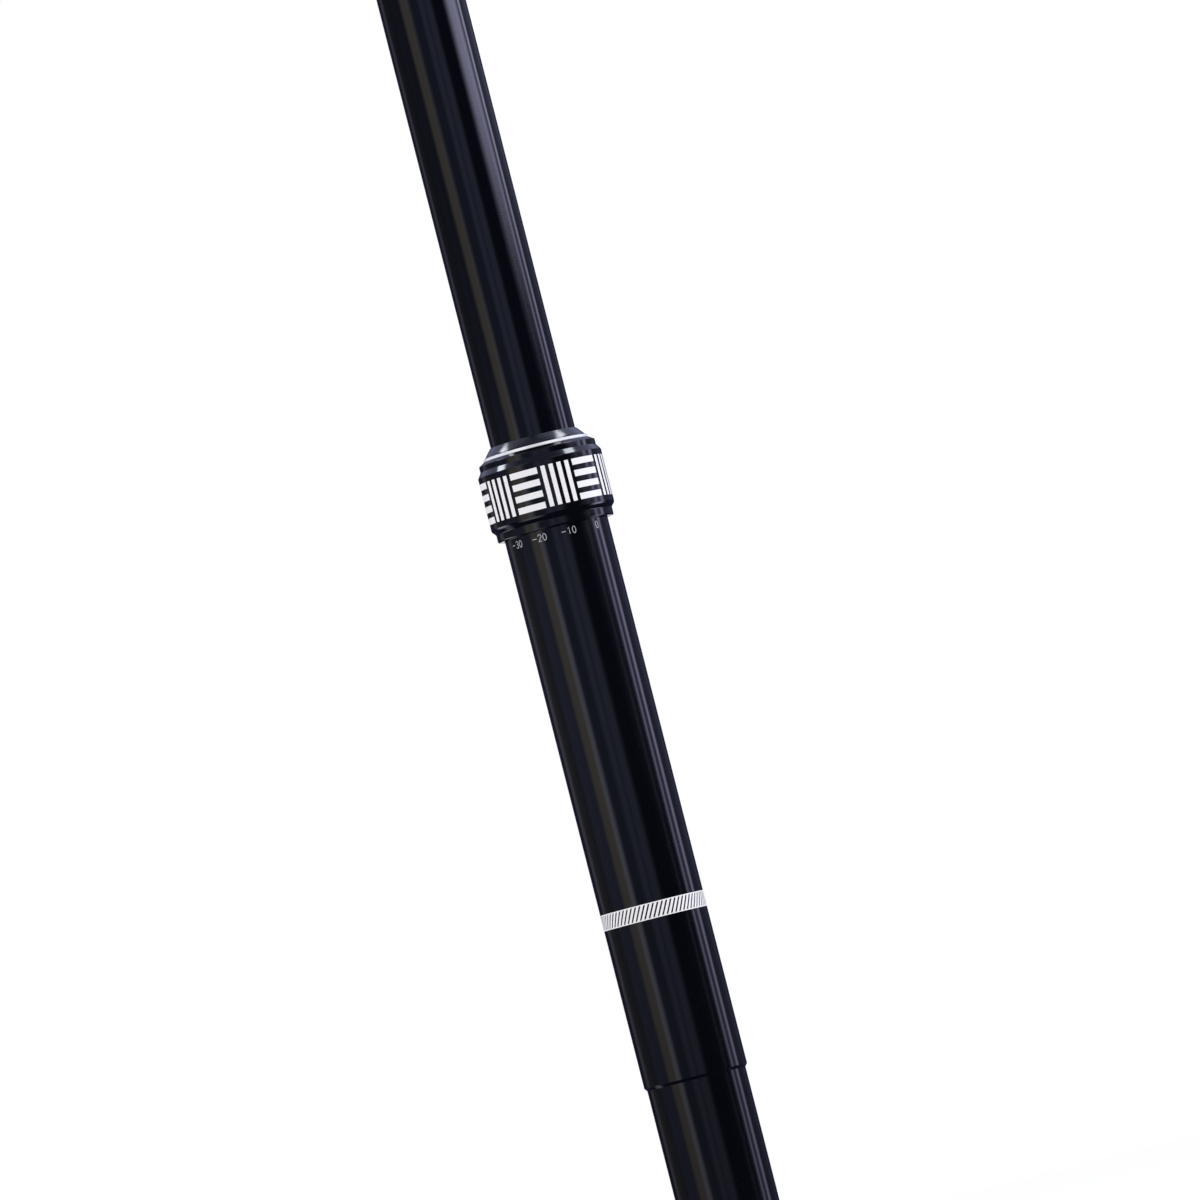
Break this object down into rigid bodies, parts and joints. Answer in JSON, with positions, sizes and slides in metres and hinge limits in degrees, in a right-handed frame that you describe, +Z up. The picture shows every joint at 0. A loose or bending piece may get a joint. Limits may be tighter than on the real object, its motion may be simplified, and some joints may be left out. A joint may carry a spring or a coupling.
{
  "type": "dropper seatpost",
  "caption": "Height-adjustable bicycle seatpost: a black sliding tube in a stepped lower tube under a printed screw collar, with a cable-operated valve and a tilting saddle clamp.",
  "frame": {"origin": "on the post's axis at the underside of the collar, where the frame's seat tube ends", "axes": "+Z up the post to the saddle, +X forward on the bicycle, +Y to its left"},
  "size_m": [0.0638, 0.0564, 0.481],
  "materials": {
    "barrel_anodise": "gloss black anodised, faintly blue",
    "stanchion_anodise": "hard black anodised, polished",
    "collar_anodise": "satin black anodised with a white printed band and a bright cut rim",
    "wiper_rubber": "smooth moulded rubber",
    "stop_rubber": "moulded rubber",
    "bush_polymer": "bearing polymer",
    "brass": "turned brass",
    "steel": "turned steel",
    "hard_chrome": "ground and hard-chromed rod",
    "plain_alloy": "plain drawn aluminium",
    "actuator_anodise": "black anodised, milled",
    "lever_steel": "blanked steel",
    "head_anodise": "forged and black anodised",
    "bolt_steel": "black oxide steel",
    "nut_steel": "turned stainless steel"
  },
  "bodies": {
    "outer_post": {"outer_tube": "barrel_anodise", "upper_bush": "bush_polymer", "travel_sleeve": "bush_polymer", "bottom_out_bumper": "stop_rubber", "cartridge_tube": "plain_alloy", "inner_tube": "steel", "rod_guide": "brass", "rod_seal": "stop_rubber", "guide_snap_ring": "steel", "valve_body": "brass", "valve_body_seal": "stop_rubber", "pin_seal": "stop_rubber", "valve_spring": "steel", "spring_plate": "steel", "actuator_housing": "actuator_anodise", "lever_pivot": "steel", "pivot_clip": "steel"},
    "sliding_post": {"stanchion": "stanchion_anodise", "top_out_ring": "stop_rubber", "guide_keys": "brass", "lower_bush": "bush_polymer", "cartridge_rod": "hard_chrome", "rod_piston": "plain_alloy", "piston_seal": "stop_rubber", "piston_nut": "steel", "saddle_head": "head_anodise", "rod_bolt": "bolt_steel", "rod_bolt_washer": "bolt_steel", "clamp_bolts": "bolt_steel", "bolt_washers": "bolt_steel"},
    "rail_clamp": {"lower_cradle": "head_anodise", "upper_clamp": "head_anodise"},
    "front_nut": {"front_barrel_nut": "nut_steel"},
    "rear_nut": {"rear_barrel_nut": "nut_steel"},
    "lever": {"release_lever": "lever_steel"},
    "valve_pin": {"release_pin": "steel"},
    "gas_piston": {"floating_piston": "plain_alloy", "floating_piston_seals": "stop_rubber"},
    "wiper": {"wiper_seal": "wiper_rubber"},
    "screw_collar": {"collar": "collar_anodise"}
  },
  "joints": [
    {"name": "drop", "type": "slide", "parent": "outer_post", "child": "sliding_post", "axis": [0, 0, 1], "range_m": [-0.15, 0], "stiffness_N_per_m": 200, "springref_m": 0.25},
    {"name": "saddle_tilt", "type": "hinge", "parent": "sliding_post", "child": "rail_clamp", "pos_m": [0, 0, 0.2152], "axis": [0, 1, 0], "range_deg": [-10, 10]},
    {"name": "front_nut_turn", "type": "hinge", "parent": "rail_clamp", "child": "front_nut", "pos_m": [0.02278, 0, 0.212], "axis": [0, 1, 0], "range_deg": [-10, 10]},
    {"name": "rear_nut_turn", "type": "hinge", "parent": "rail_clamp", "child": "rear_nut", "pos_m": [-0.02278, 0, 0.2184], "axis": [0, 1, 0], "range_deg": [-10, 10]},
    {"name": "lever_pull", "type": "hinge", "parent": "outer_post", "child": "lever", "pos_m": [0.0034, 0, -0.23655], "axis": [0, 1, 0], "range_deg": [0, 28]},
    {"name": "pin_push", "type": "slide", "parent": "outer_post", "child": "valve_pin", "axis": [0, 0, 1], "range_m": [0, 0.00151], "stiffness_N_per_m": 1200, "springref_m": -0.0025, "deforming": ["valve_spring"]},
    {"name": "piston_float", "type": "slide", "parent": "outer_post", "child": "gas_piston", "axis": [0, 0, 1], "range_m": [0, 0.10355]},
    {"name": "collar_lift", "type": "slide", "parent": "outer_post", "child": "wiper", "axis": [0, 0, 1], "range_m": [0, 0.00601]},
    {"name": "collar_turn", "type": "hinge", "parent": "wiper", "child": "screw_collar", "pos_m": [0, 0, 0], "axis": [0, 0, 1], "range_deg": [0, 1440]}
  ],
  "couplings": [
    {"joint": "front_nut_turn", "follows": "saddle_tilt", "ratio": -1},
    {"joint": "rear_nut_turn", "follows": "saddle_tilt", "ratio": -1},
    {"joint": "lever_pull", "follows": "pin_push", "rad_per_m": 322.62},
    {"joint": "piston_float", "follows": "drop", "ratio": -0.68966},
    {"joint": "collar_lift", "follows": "collar_turn", "m_per_rad": 0.00023873}
  ]
}
